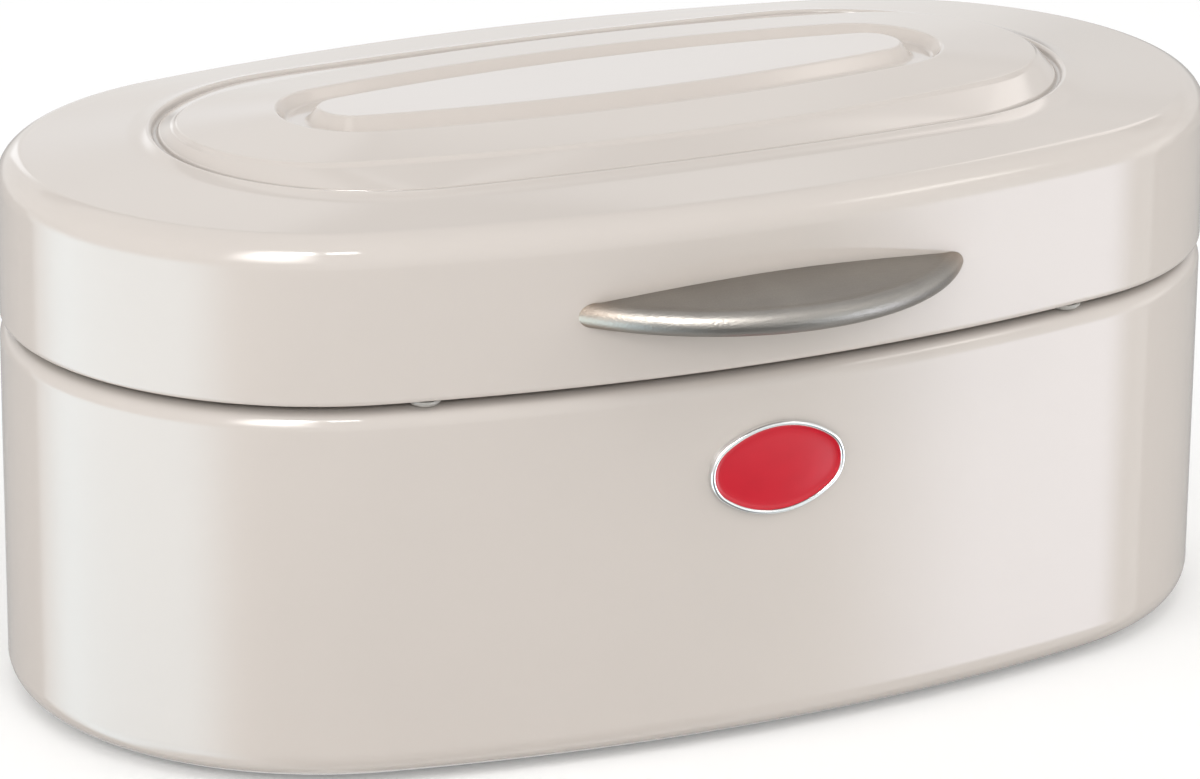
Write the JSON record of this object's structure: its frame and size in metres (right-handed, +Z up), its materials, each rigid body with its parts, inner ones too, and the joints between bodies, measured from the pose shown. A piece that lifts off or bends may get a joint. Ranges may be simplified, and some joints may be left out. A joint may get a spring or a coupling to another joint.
{
  "type": "bread box",
  "caption": "Oval pressed steel bread box with an embossed lid that lifts on two rear hinges, a crescent pull and a small plain front badge",
  "frame": {"origin": "middle of the footprint of the whole box, pull and hinge lugs included, on the plane that the four feet stand on", "axes": "+X along the length to the right as seen from the front, +Y from the front (pull side) to the rear (hinge side), +Z up"},
  "size_m": [0.34, 0.2212, 0.1558],
  "materials": {
    "paint": "gloss powder coat, warm light grey",
    "satin_nickel": "satin nickel on a zinc casting",
    "zinc": "zinc plated steel",
    "badge_metal": "polished",
    "enamel": "gloss red enamel",
    "silicone": "clear silicone",
    "rubber": "matt black rubber"
  },
  "bodies": {
    "base": {"base_shell": "paint", "base_collar": "paint", "foot_front_left": "rubber", "foot_front_right": "rubber", "foot_rear_left": "rubber", "foot_rear_right": "rubber", "badge_frame": "badge_metal", "badge_enamel": "enamel", "badge_clips": "zinc", "hinge_lower_left": "zinc", "hinge_lower_right": "zinc", "hinge_pin_left": "zinc", "hinge_pin_right": "zinc", "base_rivets": "zinc"},
    "lid": {"lid_shell": "paint", "hinge_upper_left": "zinc", "hinge_upper_right": "zinc", "lid_rivets": "zinc", "pull": "satin_nickel", "pull_backing": "zinc", "pull_screws": "zinc", "bumper_left": "silicone", "bumper_right": "silicone"}
  },
  "joints": [
    {"name": "lid_hinge", "type": "hinge", "parent": "base", "child": "lid", "pos_m": [0, 0.1053, 0.1017], "axis": [-1, 0, 0], "range_deg": [0, 100]}
  ]
}
